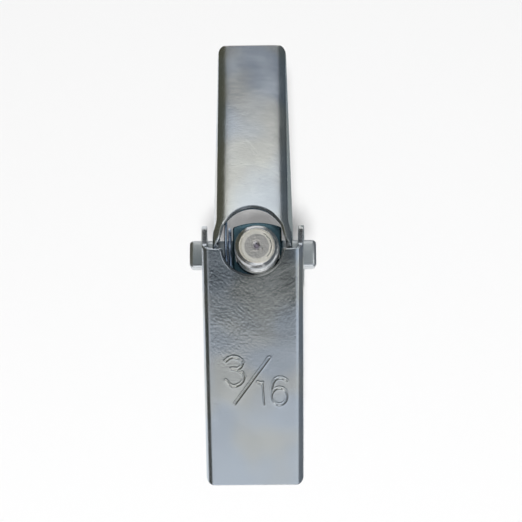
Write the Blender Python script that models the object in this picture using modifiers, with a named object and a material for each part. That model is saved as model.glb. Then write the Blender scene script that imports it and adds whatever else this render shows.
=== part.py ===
"""Spring toggle bolt: a flat-head bolt, a trunnion nut and two spring-opened channel wings.

The bolt stands on its head with its axis on +Z. The nut's arms lie along X, the outer wing opens
towards -Y and the inner wing towards +Y.
"""

import math

import bmesh
import bpy
from mathutils import Matrix

MM = 0.001

# Bolt
BOLT_LENGTH = 50.8 * MM
THREAD_RADIUS = 2.33 * MM
TIP_RADIUS = 1.75 * MM
TIP_TAPER = 1.0 * MM
THREAD_PITCH = 25.4 / 24 * MM
THREAD_DEPTH = 0.6 * MM
THREAD_CREST = 0.13 * MM
THREAD_ROOT = 0.2 * MM
THREAD_PHASE = 0.3  # of a turn, from the tip down to the crest at +X
NECK_RADIUS = 2.37 * MM
NECK_LENGTH = 0.9 * MM  # over the head's cone
HEAD_RADIUS = 4.7 * MM
HEAD_RIM = 0.3 * MM
HEAD_HALF_ANGLE = math.radians(41)
SLOT_WIDTH = 1.2 * MM
SLOT_DEPTH = 1.1 * MM

# Trunnion nut
TIP_STANDOUT = 6.0 * MM  # from the nut's arms to the bolt's tip
THREAD_CLEARANCE = 0.07 * MM
BOSS_SIDE_WALL = 0.22 * MM
BOSS_THICKNESS = 3.2 * MM
BOSS_BULGE_RADIUS = 6.75 * MM
BOSS_EDGE = 0.2 * MM
ARM_WIDTH = 3.0 * MM
ARM_THICKNESS = 2.2 * MM
ARM_EDGE = 0.45 * MM
ARM_STANDOUT = 1.3 * MM  # past the outer wing's ears

# Wings
SHEET = 0.6 * MM
BEND_RADIUS = 0.8 * MM
EAR_HOLE_CLEARANCE = 0.15 * MM
EAR_RIM = 1.37 * MM
WING_SIDE_PLAY = 0.48 * MM
EAR_PLAY = 0.5 * MM
WEB_TO_BOSS = 0.3 * MM
WEB_TO_SPRING = 0.63 * MM
TIP_ROLL = 0.3 * MM
EAR_FLARE_START = 0.3  # share of the inner web's start
EAR_FLARE_END = 1.1

INNER_LENGTH = 23.8 * MM
INNER_TILT = math.radians(12)
INNER_SPLAY = math.radians(6)
INNER_EAR_OFFSET = 0.44 * MM  # how much wider the ears stand than the web
INNER_WEB_START = 2.7 * MM
INNER_NOTCH_DEPTH = 1.1 * MM
INNER_NOTCH_RADIUS = 3.12 * MM
INNER_TIP_DEPTH = 1.7 * MM
INNER_TIP_CORNER = 0.5 * MM
HEEL_RADIUS = 3.75 * MM
HEEL_ANGLE = math.radians(7)

OUTER_LENGTH = 24.75 * MM
OUTER_TILT = math.radians(20)
OUTER_SPLAY = math.radians(3)
OUTER_WEB_START = 1.5 * MM  # behind the hinge
OUTER_NOTCH_GAP = 0.3 * MM  # to the bolt, beside it
OUTER_NOTCH_DEPTH = 2.85 * MM
OUTER_TIP_DEPTH = 2.0 * MM
OUTER_TIP_CORNER = 1.1 * MM
FLANGE_TIP_RUN = 1.9 * MM

# Spring
WIRE_DIAMETER = 0.33 * MM
COIL_RADIUS = 2.8 * MM  # to the middle of the wire
COIL_PITCH = 0.345 * MM
COIL_TURNS = 2
COIL_SIDE_GAP = 0.06 * MM  # to the nut's boss
SPRING_SIDE_PLAY = 0.4 * MM
LEG_LENGTH = 9.0 * MM
LEG_TO_WEB = 0.3 * MM

# Facets
ROUND_STEPS = 64
THREAD_STEPS = 20
ARC_STEPS = 10
NOTCH_STEPS = 21  # odd, so that no corner lies on a wing's middle line
COIL_STEPS_PER_TURN = 24
WING_STATIONS = 14
STATION_CROWDING = 1.5  # above 1 sets more stations near the hinge
BEND_STEPS = 6
FLANGE_STEPS = 4
CUT_OVERSHOOT = 0.06 * MM
MERGE_DISTANCE = 1e-6

# Values that follow from the sizes above
HINGE_HEIGHT = BOLT_LENGTH - TIP_STANDOUT
CONE_TOP = HEAD_RIM + (HEAD_RADIUS - NECK_RADIUS) / math.tan(HEAD_HALF_ANGLE)
BORE_RADIUS = THREAD_RADIUS + THREAD_CLEARANCE
BOSS_HALF_WIDTH = BORE_RADIUS + BOSS_SIDE_WALL
WEB_UNDERSIDE = COIL_RADIUS + WIRE_DIAMETER / 2 + WEB_TO_SPRING
WEB_TOP = WEB_UNDERSIDE + SHEET
BOSS_HALF_HEIGHT = WEB_UNDERSIDE - WEB_TO_BOSS
SPRING_TURNING = 2 * math.pi * COIL_TURNS + INNER_TILT + OUTER_TILT
SPRING_ROOM = (
    SPRING_TURNING / (2 * math.pi) * COIL_PITCH + WIRE_DIAMETER + SPRING_SIDE_PLAY
)
INNER_EAR_INSIDE = BOSS_HALF_WIDTH + (SPRING_ROOM + WING_SIDE_PLAY) / 2
WING_CENTRE = (WING_SIDE_PLAY - SPRING_ROOM) / 2
INNER_EAR_HALF = INNER_EAR_INSIDE + SHEET
INNER_WEB_HALF = INNER_EAR_HALF - INNER_EAR_OFFSET
OUTER_WEB_HALF = INNER_EAR_HALF + EAR_PLAY + SHEET
OUTER_EAR_HALF = OUTER_WEB_HALF + WEB_TOP * math.tan(OUTER_SPLAY)
ARM_HALF_LENGTH = OUTER_EAR_HALF + ARM_STANDOUT
ARM_CORNER_RADIUS = (
    math.hypot(ARM_WIDTH / 2 - ARM_EDGE, ARM_THICKNESS / 2 - ARM_EDGE) + ARM_EDGE
)
EAR_HOLE_RADIUS = ARM_CORNER_RADIUS + EAR_HOLE_CLEARANCE
EAR_RADIUS = EAR_HOLE_RADIUS + EAR_RIM


def clear_scene():
    for obj in list(bpy.data.objects):
        bpy.data.objects.remove(obj, do_unlink=True)


def new_collection(name):
    collection = bpy.data.collections.new(name)
    bpy.context.scene.collection.children.link(collection)
    return collection


def steel(name, colour, roughness):
    material = bpy.data.materials.new(name)
    material.use_nodes = True
    shader = material.node_tree.nodes["Principled BSDF"]
    shader.inputs["Base Color"].default_value = (*colour, 1)
    shader.inputs["Metallic"].default_value = 1
    shader.inputs["Roughness"].default_value = roughness
    return material


def add_object(name, data, collection, parent=None, matrix=None):
    obj = bpy.data.objects.new(name, data)
    collection.objects.link(obj)
    obj.parent = parent
    if matrix is not None:
        obj.matrix_local = matrix
    return obj


def as_cutter(obj):
    obj.hide_render = True
    obj.display_type = "WIRE"
    return obj


def boolean(obj, other, operation):
    modifier = obj.modifiers.new(f"{operation} {other.name}", "BOOLEAN")
    modifier.operation = operation
    modifier.object = other


def arc(centre_x, centre_y, radius, start, end, steps=ARC_STEPS):
    """Points along an arc, from the start angle to the end angle."""
    angles = [start + (end - start) * i / steps for i in range(steps + 1)]
    return [
        (centre_x + radius * math.cos(a), centre_y + radius * math.sin(a))
        for a in angles
    ]


def tangent_angle(x, y, radius, side):
    """The angle at which a line from (x, y) touches a circle round the origin, on side 1 or -1."""
    return math.atan2(y, x) + side * math.acos(radius / math.hypot(x, y))


def blend(value, low, high):
    """A smooth step from 1 at low to 0 at high."""
    t = min(1, max(0, (value - low) / (high - low)))
    return 1 - t * t * (3 - 2 * t)


def prism(name, outline, half_depth, collection, parent=None, matrix=None):
    """A mesh object: a flat outline with filled caps, extruded to both sides of its plane."""
    curve = bpy.data.curves.new(name, "CURVE")
    curve.dimensions = "2D"
    curve.fill_mode = "BOTH"
    curve.extrude = half_depth
    spline = curve.splines.new("POLY")
    spline.points.add(len(outline) - 1)
    for point, (x, y) in zip(spline.points, outline):
        point.co = (x, y, 0, 1)
    spline.use_cyclic_u = True
    source = add_object(name + "_outline", curve, collection)
    graph = bpy.context.evaluated_depsgraph_get()
    mesh = bpy.data.meshes.new_from_object(source.evaluated_get(graph))
    bpy.data.objects.remove(source, do_unlink=True)
    work = bmesh.new()
    work.from_mesh(mesh)
    bmesh.ops.remove_doubles(work, verts=work.verts, dist=MERGE_DISTANCE)
    bmesh.ops.recalc_face_normals(work, faces=work.faces)
    work.to_mesh(mesh)
    work.free()
    return add_object(name, mesh, collection, parent, matrix)


def cylinder(name, radius, depth, collection, parent=None, matrix=None):
    work = bmesh.new()
    bmesh.ops.create_cone(
        work,
        cap_ends=True,
        segments=ROUND_STEPS,
        radius1=radius,
        radius2=radius,
        depth=depth,
    )
    mesh = bpy.data.meshes.new(name)
    work.to_mesh(mesh)
    work.free()
    return add_object(name, mesh, collection, parent, matrix)


def box(name, size, collection, parent=None, matrix=None):
    work = bmesh.new()
    bmesh.ops.create_cube(work, size=1, matrix=Matrix.Diagonal((*size, 1)))
    mesh = bpy.data.meshes.new(name)
    work.to_mesh(mesh)
    work.free()
    return add_object(name, mesh, collection, parent, matrix)


def shade_round(obj):
    obj.data.shade_smooth()
    obj.data.set_sharp_from_angle(angle=math.radians(30))


def turned(name, profile, collection):
    """A solid of revolution round +Z, from a profile of radii and heights."""
    mesh = bpy.data.meshes.new(name)
    edges = [(i, i + 1) for i in range(len(profile) - 1)]
    mesh.from_pydata([(x, 0, z) for x, z in profile], edges, [])
    obj = add_object(name, mesh, collection)
    screw = obj.modifiers.new("Turn", "SCREW")
    screw.steps = ROUND_STEPS
    screw.render_steps = ROUND_STEPS
    screw.use_merge_vertices = True
    screw.merge_threshold = MERGE_DISTANCE
    return obj


def threaded_rod(name, collection):
    """A rod with a helical thread, a little longer than the bolt at both ends."""
    turns_below = math.ceil((BOLT_LENGTH - CONE_TOP) / THREAD_PITCH)
    low_crest = BOLT_LENGTH - (turns_below + THREAD_PHASE) * THREAD_PITCH - THREAD_CREST / 2
    flank = (THREAD_PITCH - THREAD_CREST - THREAD_ROOT) / 2
    root_radius = THREAD_RADIUS - THREAD_DEPTH
    profile = [
        (THREAD_RADIUS, 0),
        (THREAD_RADIUS, THREAD_CREST),
        (root_radius, THREAD_CREST + flank),
        (root_radius, THREAD_CREST + flank + THREAD_ROOT),
        (THREAD_RADIUS, THREAD_PITCH),
    ]
    mesh = bpy.data.meshes.new(name)
    edges = [(i, i + 1) for i in range(len(profile) - 1)]
    mesh.from_pydata([(x, 0, low_crest + z) for x, z in profile], edges, [])
    source = add_object(name + "_profile", mesh, collection)
    screw = source.modifiers.new("Thread", "SCREW")
    screw.steps = THREAD_STEPS
    screw.render_steps = THREAD_STEPS
    screw.iterations = turns_below + 2
    screw.screw_offset = THREAD_PITCH
    graph = bpy.context.evaluated_depsgraph_get()
    rod = bpy.data.meshes.new_from_object(source.evaluated_get(graph))
    bpy.data.objects.remove(source, do_unlink=True)
    close_rod(rod)
    # Half a facet round, so that no corner of the rod meets one of the forms that trim it.
    rod.transform(Matrix.Rotation(math.pi / ROUND_STEPS, 4, "Z"))
    return add_object(name, rod, collection)


def close_rod(mesh):
    """Welds a helical surface turn to turn, and closes each end to a point on the axis."""
    work = bmesh.new()
    work.from_mesh(mesh)
    bmesh.ops.remove_doubles(work, verts=work.verts, dist=MERGE_DISTANCE)
    open_edges = [edge for edge in work.edges if edge.is_boundary]
    middle = sum(vert.co.z for vert in work.verts) / len(work.verts)
    for above in (False, True):
        rim = [edge for edge in open_edges if (edge.verts[0].co.z > middle) == above]
        height = sum(edge.verts[0].co.z for edge in rim) / len(rim)
        centre = work.verts.new((0, 0, height))
        for edge in rim:
            work.faces.new((*edge.verts, centre))
    bmesh.ops.recalc_face_normals(work, faces=work.faces)
    work.to_mesh(mesh)
    work.free()


def build_bolt(parts, cutters, material):
    """A threaded rod cut to length and tapered at its tip, on a countersunk head with a plain slot."""
    bolt = threaded_rod("bolt", parts)
    outside = THREAD_RADIUS + THREAD_DEPTH
    taper = TIP_TAPER / (THREAD_RADIUS - TIP_RADIUS) * (outside - TIP_RADIUS)
    envelope = [
        (0, BOLT_LENGTH),
        (TIP_RADIUS, BOLT_LENGTH),
        (outside, BOLT_LENGTH - taper),
        (outside, CONE_TOP),
        (0, CONE_TOP),
    ]
    boolean(bolt, as_cutter(turned("thread_envelope", envelope, cutters)), "INTERSECT")
    head_profile = [
        (0, CONE_TOP + NECK_LENGTH),
        (NECK_RADIUS, CONE_TOP + NECK_LENGTH),
        (NECK_RADIUS, CONE_TOP),
        (HEAD_RADIUS, HEAD_RIM),
        (HEAD_RADIUS, 0),
        (0, 0),
    ]
    boolean(bolt, as_cutter(turned("head_form", head_profile, cutters)), "UNION")
    slot_size = (SLOT_WIDTH, 3 * HEAD_RADIUS, 2 * SLOT_DEPTH)
    slot = as_cutter(box("head_slot_cutter", slot_size, cutters))
    boolean(bolt, slot, "DIFFERENCE")
    bolt.data.materials.append(material)
    return bolt


def boss_outline():
    """A barrel between flat sides: one shallow arc above and one below."""
    centre = BOSS_HALF_HEIGHT - BOSS_BULGE_RADIUS
    reach = math.asin(BOSS_HALF_WIDTH / BOSS_BULGE_RADIUS)
    up, down = math.pi / 2, -math.pi / 2
    top = arc(0, centre, BOSS_BULGE_RADIUS, up - reach, up + reach)
    bottom = arc(0, -centre, BOSS_BULGE_RADIUS, down - reach, down + reach)
    return top + bottom


def build_nut(parts, cutters, material):
    """A barrel-shaped boss with an arm at each side, and a hole for the bolt."""
    place = Matrix.Translation((0, 0, HINGE_HEIGHT))
    nut = prism("trunnion_nut", boss_outline(), BOSS_THICKNESS / 2, parts, None, place)
    edge = nut.modifiers.new("Edge", "BEVEL")
    edge.width = BOSS_EDGE
    edge.segments = 2
    edge.limit_method = "ANGLE"

    arms_size = (2 * ARM_HALF_LENGTH, ARM_WIDTH, ARM_THICKNESS)
    arms_place = Matrix.Translation((WING_CENTRE, 0, 0))
    arms = as_cutter(box("arms_form", arms_size, cutters, nut, arms_place))
    arms_edge = arms.modifiers.new("Edge", "BEVEL")
    arms_edge.width = ARM_EDGE
    arms_edge.segments = 4
    boolean(nut, arms, "UNION")
    bore = as_cutter(
        cylinder("nut_bore_cutter", BORE_RADIUS, 2 * BOSS_THICKNESS, cutters, nut)
    )
    boolean(nut, bore, "DIFFERENCE")
    shade_round(nut)
    nut.data.materials.append(material)
    return nut


def flange_lean(splay, ear_offset):
    """How far out the flange stands at a place along the wing and a depth under the web."""

    def lean(along, depth):
        at_ear = blend(along, EAR_FLARE_START * INNER_WEB_START, EAR_FLARE_END * INNER_WEB_START)
        return (1 - at_ear) * depth * math.tan(splay) + at_ear * ear_offset

    def plain_lean(_along, depth):
        return depth * math.tan(splay)

    return plain_lean if ear_offset is None else lean


def channel(name, length, web_half, lean, parts, hinge, matrix):
    """An open channel surface along +Y, with its web on top, thickened inwards to a sheet."""
    depth = WEB_TOP + 2 * EAR_RADIUS
    start, end = -2 * EAR_RADIUS, length + EAR_RADIUS
    stations = [
        start + (end - start) * (i / WING_STATIONS) ** STATION_CROWDING
        for i in range(WING_STATIONS + 1)
    ]
    bend = arc(-BEND_RADIUS, -BEND_RADIUS, BEND_RADIUS, math.pi / 2, 0, BEND_STEPS)
    across = [(-web_half, 0), *bend]
    across += [(0, -depth * i / FLANGE_STEPS) for i in range(1, FLANGE_STEPS + 1)]
    work = bmesh.new()
    rows = [
        [
            work.verts.new(
                (
                    max(0, web_half + x + (lean(y, -z) if x > -web_half else 0)),
                    y,
                    WEB_TOP + z,
                )
            )
            for x, z in across
        ]
        for y in stations
    ]
    for near, far in zip(rows, rows[1:]):
        for i in range(len(across) - 1):
            work.faces.new((near[i], near[i + 1], far[i + 1], far[i]))
    mesh = bpy.data.meshes.new(name)
    work.to_mesh(mesh)
    work.free()
    wing = add_object(name, mesh, parts, hinge, matrix)
    mirror = wing.modifiers.new("Mirror", "MIRROR")
    mirror.merge_threshold = MERGE_DISTANCE
    solidify = wing.modifiers.new("Sheet", "SOLIDIFY")
    solidify.thickness = SHEET
    solidify.offset = -1
    solidify.use_even_offset = True
    return wing


def side_outline(length, heel, top_step, tip_depth):
    """The wing from the side: the ear's round end, the flange's taper and the tip's round corner."""
    heel_y, heel_z = heel
    above = WEB_TOP + SHEET
    roll_radius = TIP_ROLL + CUT_OVERSHOOT / 4
    roll = arc(length - TIP_ROLL, WEB_TOP - TIP_ROLL, roll_radius, math.pi / 2, 0, BEND_STEPS)
    toe_y, toe_z = length - FLANGE_TIP_RUN, WEB_TOP - tip_depth
    toe = [
        (
            toe_y + FLANGE_TIP_RUN * math.cos(a),
            WEB_UNDERSIDE + (WEB_UNDERSIDE - toe_z) * math.sin(a),
        )
        for a in (-math.pi / 2 * i / ARC_STEPS for i in range(ARC_STEPS + 1))
    ]
    low = tangent_angle(toe_y, toe_z, EAR_RADIUS, -1)
    high = tangent_angle(heel_y, heel_z, EAR_RADIUS, 1)
    ear = arc(0, 0, EAR_RADIUS, low, high - 2 * math.pi, 3 * ARC_STEPS)
    return [(length - TIP_ROLL, above), *roll, *toe, *ear, (heel_y, heel_z), *top_step]


def cut_side(wing, outline, half_width, cutters):
    """Trims the channel to its outline as seen from the side."""
    sideways = Matrix(((0, 0, 1, 0), (1, 0, 0, 0), (0, 1, 0, 0), (0, 0, 0, 1)))
    form = prism(
        wing.name + "_side_form", outline, 2 * half_width, cutters, wing, sideways
    )
    boolean(wing, as_cutter(form), "INTERSECT")


def cut_tip(wing, length, half_width, corner, cutters):
    """Rounds the web's two corners at the tip."""
    wide = 2 * half_width
    far = length + SHEET
    edge = length - corner
    inside = half_width - corner
    right = arc(inside, edge, corner, 0, math.pi / 2)
    outline = [(half_width + SHEET, edge), *right[1:]]
    outline += [(0, length + CUT_OVERSHOOT), (0, far), (wide, far), (wide, edge)]
    for side in (1, -1):
        points = [(side * x, y) for x, y in outline]
        name = f"{wing.name}_tip_cutter_{'right' if side > 0 else 'left'}"
        cutter = prism(name, points, 3 * WEB_TOP, cutters, wing)
        boolean(wing, as_cutter(cutter), "DIFFERENCE")


def cut_notch(wing, outline, cutters):
    """Cuts the web's hinge end clear of the bolt."""
    lift = Matrix.Translation((0, 0, WEB_TOP))
    half_depth = SHEET + CUT_OVERSHOOT
    cutter = prism(wing.name + "_notch_cutter", outline, half_depth, cutters, wing, lift)
    boolean(wing, as_cutter(cutter), "DIFFERENCE")


def cut_ear_holes(wing, half_width, cutters):
    sideways = Matrix.Rotation(math.pi / 2, 4, "Y")
    drill = cylinder(
        wing.name + "_ear_hole_cutter",
        EAR_HOLE_RADIUS,
        4 * half_width,
        cutters,
        wing,
        sideways,
    )
    boolean(wing, as_cutter(drill), "DIFFERENCE")


def add_hinge(name, parts):
    hinge = add_object(name, None, parts)
    hinge.location = (WING_CENTRE, 0, HINGE_HEIGHT)
    return hinge


def build_outer_wing(parts, cutters, material):
    turn = Matrix.Rotation(math.pi, 4, "Z") @ Matrix.Rotation(-OUTER_TILT, 4, "X")
    hinge = add_hinge("outer_wing_hinge", parts)
    lean = flange_lean(OUTER_SPLAY, None)
    wing = channel(
        "outer_wing", OUTER_LENGTH, OUTER_WEB_HALF, lean, parts, hinge, turn
    )
    heel = (-OUTER_WEB_START, WEB_TOP)
    top = [(-OUTER_WEB_START, WEB_TOP + SHEET)]
    outline = side_outline(OUTER_LENGTH, heel, top, OUTER_TIP_DEPTH)
    cut_side(wing, outline, OUTER_WEB_HALF, cutters)

    notch_half = THREAD_RADIUS + abs(WING_CENTRE) + OUTER_NOTCH_GAP
    notch = [
        (notch_half * x, OUTER_NOTCH_DEPTH * y - OUTER_WEB_START)
        for x, y in arc(0, 0, 1, 0, math.pi, NOTCH_STEPS)
    ]
    back = -OUTER_WEB_START - EAR_RADIUS
    cut_notch(wing, [*notch, (-notch_half, back), (notch_half, back)], cutters)
    cut_tip(wing, OUTER_LENGTH, OUTER_WEB_HALF, OUTER_TIP_CORNER, cutters)
    cut_ear_holes(wing, OUTER_WEB_HALF, cutters)
    wing.data.materials.append(material)
    return wing


def build_inner_wing(parts, cutters, material):
    turn = Matrix.Rotation(-INNER_TILT, 4, "X")
    hinge = add_hinge("inner_wing_hinge", parts)
    lean = flange_lean(INNER_SPLAY, INNER_EAR_OFFSET)
    wing = channel(
        "inner_wing", INNER_LENGTH, INNER_WEB_HALF, lean, parts, hinge, turn
    )
    heel = (-HEEL_RADIUS * math.sin(HEEL_ANGLE), HEEL_RADIUS * math.cos(HEEL_ANGLE))
    step = WEB_TOP - heel[1]
    top = [
        (INNER_WEB_START - step, heel[1]),
        (INNER_WEB_START, WEB_TOP),
        (INNER_WEB_START, WEB_TOP + SHEET),
    ]
    outline = side_outline(INNER_LENGTH, heel, top, INNER_TIP_DEPTH)
    cut_side(wing, outline, INNER_EAR_HALF, cutters)

    web_inside = INNER_WEB_HALF - SHEET
    shoulder = INNER_WEB_START - step
    centre = INNER_WEB_START + INNER_NOTCH_DEPTH - INNER_NOTCH_RADIUS
    reach = math.acos((shoulder - centre) / INNER_NOTCH_RADIUS)
    up = math.pi / 2
    notch = arc(0, centre, INNER_NOTCH_RADIUS, up - reach, up + reach, NOTCH_STEPS)
    back = -2 * EAR_RADIUS
    ear_start = EAR_FLARE_START * INNER_WEB_START
    left = [(-web_inside, shoulder), (-INNER_EAR_INSIDE, ear_start), (-INNER_EAR_INSIDE, back)]
    right = [(-x, y) for x, y in reversed(left)]
    cut_notch(wing, [*notch, *left, *right], cutters)
    cut_tip(wing, INNER_LENGTH, INNER_WEB_HALF, INNER_TIP_CORNER, cutters)
    cut_ear_holes(wing, INNER_EAR_HALF, cutters)
    wing.data.materials.append(material)
    return wing


def leg_points(tilt, side):
    """The free end of a leg and the angle at which it leaves the coil, seen along the arms.

    side is 1 for the leg towards +Y and -1 for the one towards -Y.
    """
    height = WEB_UNDERSIDE - LEG_TO_WEB - WIRE_DIAMETER / 2
    y = LEG_LENGTH * math.cos(tilt) + height * math.sin(tilt)
    z = height * math.cos(tilt) - LEG_LENGTH * math.sin(tilt)
    return (side * y, z), tangent_angle(side * y, z, COIL_RADIUS, side)


def build_spring(parts, material):
    """A torsion coil on the nut's left arm, with one leg under each wing's web."""
    outer_end, outer_leave = leg_points(OUTER_TILT, -1)
    inner_end, inner_leave = leg_points(INNER_TILT, 1)
    turning = 2 * math.pi * COIL_TURNS + (outer_leave - inner_leave)
    steps = round(COIL_STEPS_PER_TURN * turning / (2 * math.pi))
    first = -(BOSS_HALF_WIDTH + COIL_SIDE_GAP + WIRE_DIAMETER / 2)
    width = COIL_PITCH * turning / (2 * math.pi)
    points = [(first, *outer_end)]
    for i in range(steps + 1):
        angle = outer_leave - turning * i / steps
        across = first - width * i / steps
        points.append(
            (across, COIL_RADIUS * math.cos(angle), COIL_RADIUS * math.sin(angle))
        )
    points.append((first - width, *inner_end))

    curve = bpy.data.curves.new("spring", "CURVE")
    curve.dimensions = "3D"
    curve.bevel_depth = WIRE_DIAMETER / 2
    curve.bevel_resolution = 2
    curve.use_fill_caps = True
    spline = curve.splines.new("POLY")
    spline.points.add(len(points) - 1)
    for point, place in zip(spline.points, points):
        point.co = (*place, 1)
    spring = add_object("spring", curve, parts)
    spring.location = (0, 0, HINGE_HEIGHT)
    spring.data.materials.append(material)
    return spring


def main():
    clear_scene()
    parts = new_collection("toggle_bolt")
    cutters = new_collection("cutters")
    zinc = steel("zinc_plated_steel", (0.62, 0.64, 0.67), 0.32)
    dark_zinc = steel("zinc_plated_nut", (0.5, 0.53, 0.55), 0.35)
    wire = steel("spring_wire", (0.45, 0.5, 0.6), 0.25)
    build_bolt(parts, cutters, zinc)
    build_nut(parts, cutters, dark_zinc)
    build_outer_wing(parts, cutters, zinc)
    build_inner_wing(parts, cutters, zinc)
    build_spring(parts, wire)


main()
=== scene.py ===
"""Looks of the spring toggle bolt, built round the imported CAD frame."""

import math

import bmesh
import bpy
import numpy as np
from mathutils import Matrix, Vector, noise
from mathutils.geometry import delaunay_2d_cdt


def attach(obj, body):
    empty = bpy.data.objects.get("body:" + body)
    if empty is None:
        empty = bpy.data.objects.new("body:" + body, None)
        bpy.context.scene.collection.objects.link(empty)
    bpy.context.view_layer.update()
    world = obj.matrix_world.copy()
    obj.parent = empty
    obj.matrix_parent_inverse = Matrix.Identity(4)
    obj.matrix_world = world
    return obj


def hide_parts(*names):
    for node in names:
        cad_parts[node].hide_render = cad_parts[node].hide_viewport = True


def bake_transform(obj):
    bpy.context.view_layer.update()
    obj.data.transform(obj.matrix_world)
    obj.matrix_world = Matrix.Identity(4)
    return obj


MM = 0.001

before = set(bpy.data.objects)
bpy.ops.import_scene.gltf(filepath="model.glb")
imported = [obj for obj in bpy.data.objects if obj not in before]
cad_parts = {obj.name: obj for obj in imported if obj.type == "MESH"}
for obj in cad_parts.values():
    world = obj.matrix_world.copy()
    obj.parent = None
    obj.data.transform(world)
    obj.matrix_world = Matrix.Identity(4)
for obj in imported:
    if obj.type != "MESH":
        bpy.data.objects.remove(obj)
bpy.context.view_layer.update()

# Sizes of the CAD model, in millimetres
HINGE_HEIGHT = 44.8
WING_CENTRE = -0.485

BOLT_LENGTH = 50.8
THREAD_RADIUS = 2.33
THREAD_PITCH = 1.0583
THREAD_DEPTH = 0.6
HEAD_RADIUS = 4.7
HEAD_RIM = 0.3
HEAD_HALF_ANGLE = math.radians(41)
SLOT_WIDTH = 1.2
SLOT_DEPTH = 1.1
TIP_RADIUS = 1.75

SHEET = 0.6
BEND_RADIUS = 0.8
WEB_TOP = 4.195
WEB_UNDERSIDE = WEB_TOP - SHEET
EAR_RADIUS = 3.205
EAR_HOLE_RADIUS = 1.835
FLANGE_TIP_RUN = 1.9
OUTER_TILT = math.radians(20)
OUTER_WEB_START = -1.5
OUTER_NOTCH_GAP = 0.3
OUTER_NOTCH_DEPTH = 2.85
INNER_TILT = math.radians(12)
INNER_NOTCH_RADIUS = 3.12
INNER_NOTCH_CENTRE = 0.68
HEEL_RADIUS = 3.75
HEEL_ANGLE = math.radians(7)

WEB_GAP = 0.3  # from the webs to the boss, and to the spring's legs
BORE_CLEARANCE = 0.07
BOSS_HALF_WIDTH = 2.62
BOSS_THICKNESS = 3.2
BOSS_BULGE_RADIUS = 6.75
BOSS_EDGE = 0.2
ARM_HALF_LENGTH = 6.805
ARM_WIDTH = 3.0
ARM_THICKNESS = 2.2
ARM_EDGE = 0.45

WIRE_DIAMETER = 0.33
COIL_RADIUS = 2.8  # to the middle of the wire
COIL_GAP = 0.06  # to the boss
LEG_LENGTH = 9
# Wider than the solid's 0.345, so that a folded leg clears the other half of the coil
COIL_PITCH = 0.43


# Camera, from the photograph's viewing angle


def aim_camera():
    distance = 105
    lean_right, lean_down, roll = (math.radians(angle) for angle in (0.5, 8.7, -0.45))
    half_view = math.radians(15.04)
    half_sensor = 18
    camera = bpy.data.objects.new("camera", bpy.data.cameras.new("camera"))
    bpy.context.scene.collection.objects.link(camera)
    target = Vector((0.372, -0.645, HINGE_HEIGHT)) * MM
    towards = Vector((math.tan(lean_right), -math.tan(lean_down), 1)).normalized()
    camera.location = target + towards * distance * MM
    right = Vector((0, 1, 0)).cross(towards).normalized()
    look = Matrix((right, towards.cross(right), towards)).transposed()
    camera.rotation_euler = (look @ Matrix.Rotation(roll, 3, "Z")).to_euler()
    camera.data.sensor_width = 2 * half_sensor
    camera.data.lens = half_sensor / math.tan(half_view)
    camera.data.clip_start = 1 * MM
    camera.data.clip_end = 20
    bpy.context.scene.camera = camera


# Mesh helpers


def new_object(name, mesh):
    obj = bpy.data.objects.new(name, mesh)
    bpy.context.scene.collection.objects.link(obj)
    return obj


def mesh_from(name, points, faces):
    """A mesh from points in millimetres."""
    mesh = bpy.data.meshes.new(name)
    mesh.from_pydata((np.asarray(points, float) * MM).tolist(), [], faces)
    work = bmesh.new()
    work.from_mesh(mesh)
    bmesh.ops.remove_doubles(work, verts=work.verts, dist=1e-8)
    bmesh.ops.recalc_face_normals(work, faces=work.faces)
    work.to_mesh(mesh)
    work.free()
    mesh.update()
    return mesh


def smooth(mesh, angle):
    """Smooth shading, with edges steeper than the angle in degrees left sharp."""
    mesh.shade_smooth()
    mesh.set_sharp_from_angle(angle=math.radians(angle))


def applied(obj):
    """The object with its modifiers turned into plain mesh."""
    graph = bpy.context.evaluated_depsgraph_get()
    mesh = bpy.data.meshes.new_from_object(obj.evaluated_get(graph))
    obj.modifiers.clear()
    obj.data = mesh
    return obj


def joined(name, objs):
    """One object of the objects' applied meshes, which are removed."""
    for obj in objs:
        applied(obj)
    work = bmesh.new()
    for obj in objs:
        obj.data.transform(obj.matrix_world)
        work.from_mesh(obj.data)
    mesh = bpy.data.meshes.new(name)
    work.to_mesh(mesh)
    work.free()
    for obj in objs:
        bpy.data.objects.remove(obj)
    return new_object(name, mesh)


def object_from(name, work):
    """An object from a bmesh, which is freed."""
    mesh = bpy.data.meshes.new(name)
    work.to_mesh(mesh)
    work.free()
    return new_object(name, mesh)


def boolean(obj, other, operation):
    modifier = obj.modifiers.new(other.name, "BOOLEAN")
    modifier.operation = operation
    modifier.object = other


def arc(cx, cy, radius, start, end, steps):
    """Points on a circle from one angle to another, both included."""
    return [
        (cx + radius * math.cos(start + (end - start) * i / steps),
         cy + radius * math.sin(start + (end - start) * i / steps))
        for i in range(steps + 1)
    ]


def smooth_step(value, low, high):
    t = np.clip((np.asarray(value, float) - low) / (high - low), 0, 1)
    return t * t * (3 - 2 * t)


def fractal(points, scale, octaves, seed):
    """Smooth noise at points, about -1 to 1; scale is the feature size."""
    falloff, lacunarity = 0.6, 2.1
    out = np.empty(len(points))
    for i, p in enumerate(points):
        v = Vector((p[0] / scale + seed, p[1] / scale - seed, seed * 0.7))
        out[i] = noise.fractal(v, falloff, lacunarity, octaves)
    return out



# Sheet-metal wings, laid out flat and folded

TIP_POINTS = 160
EAR_STEPS = 80
HEEL_STEPS = 12
OUTLINE_STEP = 0.09
BATCH = 2000  # points handled at a time


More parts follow.
